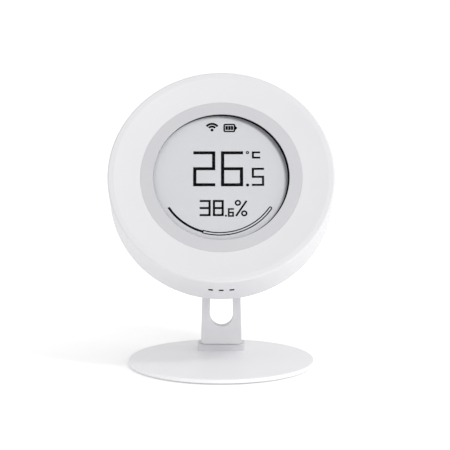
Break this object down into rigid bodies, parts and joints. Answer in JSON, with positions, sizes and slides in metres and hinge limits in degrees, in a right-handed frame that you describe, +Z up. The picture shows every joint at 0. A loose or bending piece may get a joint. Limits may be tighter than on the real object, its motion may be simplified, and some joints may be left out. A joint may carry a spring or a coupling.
{
  "type": "temperature humidity sensor",
  "caption": "Round white temperature and humidity sensor with a dished face and a grey ringed round display, tilting on a forked arm above a thin disc base.",
  "frame": {"origin": "centre of the foot pad's underside, on the table", "axes": "+Z up, -Y towards the person who reads the display, +X to the right of that person"},
  "size_m": [0.08, 0.0683, 0.1026],
  "materials": {
    "white_plastic": "satin, very fine texture",
    "grey_plastic": "satin",
    "white_metal": "semi-gloss paint",
    "clear_window": "clear, polished",
    "display_glass": "matt grey display",
    "grey_rubber": "matt",
    "green_board": "gloss solder mask",
    "black_plastic": "matt",
    "steel": "plated",
    "cell_can": "plain printed sleeve"
  },
  "bodies": {
    "stand": {"foot_pad": "grey_rubber", "base_plate": "white_metal", "hinge_block": "white_plastic", "block_screws": "steel", "lean_pin": "steel", "lean_washers": "grey_rubber"},
    "arm": {"arm": "white_plastic", "tilt_pin": "steel", "tilt_washers": "grey_rubber"},
    "head": {"hinge_lug": "white_plastic", "lug_screws": "steel", "front_shell": "white_plastic", "bezel_ring": "grey_plastic", "display_window": "clear_window", "lcd_panel": "display_glass", "reflector_sheet": "white_plastic", "display_frame": "white_plastic", "contact_strips": "grey_rubber", "main_board": "green_board", "wireless_module": "steel", "control_chip": "black_plastic", "driver_chip": "black_plastic", "sensor_chip": "black_plastic", "sensor_gasket": "grey_rubber", "push_switch": "black_plastic", "board_screws": "steel", "rear_cover": "white_plastic", "cover_screws": "steel", "bridge_contact": "steel", "terminal_contacts": "steel", "upper_cell": "cell_can", "lower_cell": "cell_can"},
    "door": {"battery_door": "white_plastic"},
    "button": {"rear_button": "white_plastic"}
  },
  "joints": [
    {"name": "arm_lean", "type": "hinge", "parent": "stand", "child": "arm", "pos_m": [0, 0.0179, 0.0067], "axis": [-1, 0, 0], "range_deg": [-1.5, 20]},
    {"name": "head_tilt", "type": "hinge", "parent": "arm", "child": "head", "pos_m": [0, 0.0131, 0.03955], "axis": [1, 0, 0], "range_deg": [-25, 35]},
    {"name": "door_lift", "type": "slide", "parent": "head", "child": "door", "axis": [0, 0.866, -0.5], "range_m": [0, 0.02]},
    {"name": "button_press", "type": "slide", "parent": "head", "child": "button", "axis": [0, -0.866, 0.5], "range_m": [0, 0.0005], "stiffness_N_per_m": 2000, "springref_m": -0.0002}
  ]
}
